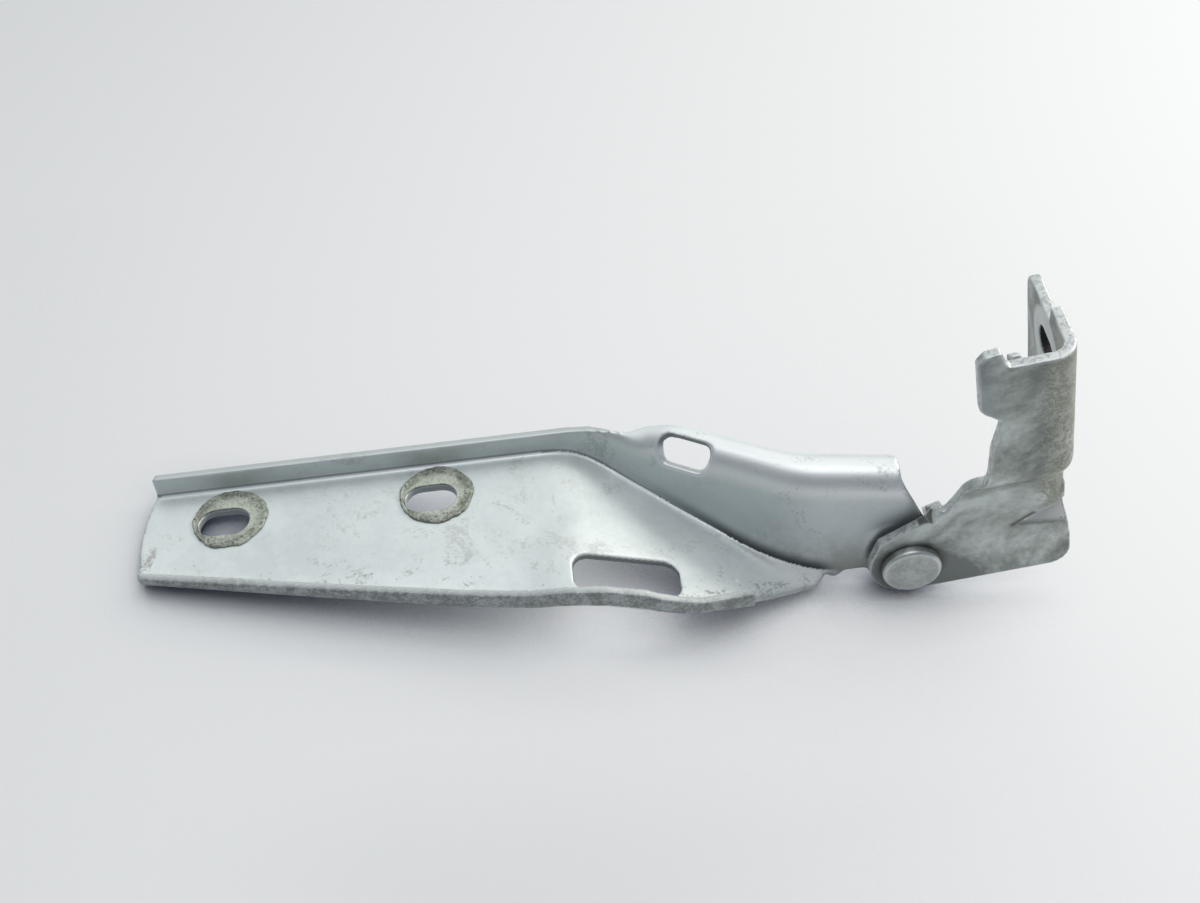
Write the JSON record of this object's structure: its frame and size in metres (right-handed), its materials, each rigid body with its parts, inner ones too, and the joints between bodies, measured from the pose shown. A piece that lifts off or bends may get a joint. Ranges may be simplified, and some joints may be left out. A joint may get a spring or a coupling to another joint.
{
  "type": "bonnet hinge",
  "caption": "Pressed-steel bonnet hinge: a slotted gooseneck arm that bolts to the bonnet turns on a rivet in a joggled angle bracket that bolts to the body.",
  "frame": {"origin": "midway between the two body slots, on the outer face of the bracket's bolting flange", "axes": "+X along the arm's web from its free end to the pivot, +Y along the pivot axis towards the arm's straight edge, +Z square to the web on its flanged side"},
  "size_m": [0.242, 0.0658, 0.0931],
  "materials": {
    "arm_zinc": "satin zinc-plated pressed sheet, smudged",
    "bracket_zinc": "dull mottled zinc with corrosion specks at the bend",
    "rivet_steel": "satin plated rivet",
    "bush_bronze": "plain bearing bronze",
    "washer_steel": "dark oiled steel"
  },
  "bodies": {
    "body_side": {"body_bracket": "bracket_zinc", "pivot_rivet": "rivet_steel", "thrust_washer": "washer_steel", "tail_washer": "washer_steel"},
    "bonnet_side": {"bonnet_arm": "arm_zinc", "pivot_bush": "bush_bronze"}
  },
  "joints": [
    {"name": "bonnet_swing", "type": "hinge", "parent": "body_side", "child": "bonnet_side", "pos_m": [-0.0362, -0.0195, -0.04443], "axis": [0, -1, 0], "range_deg": [0, 65]}
  ]
}
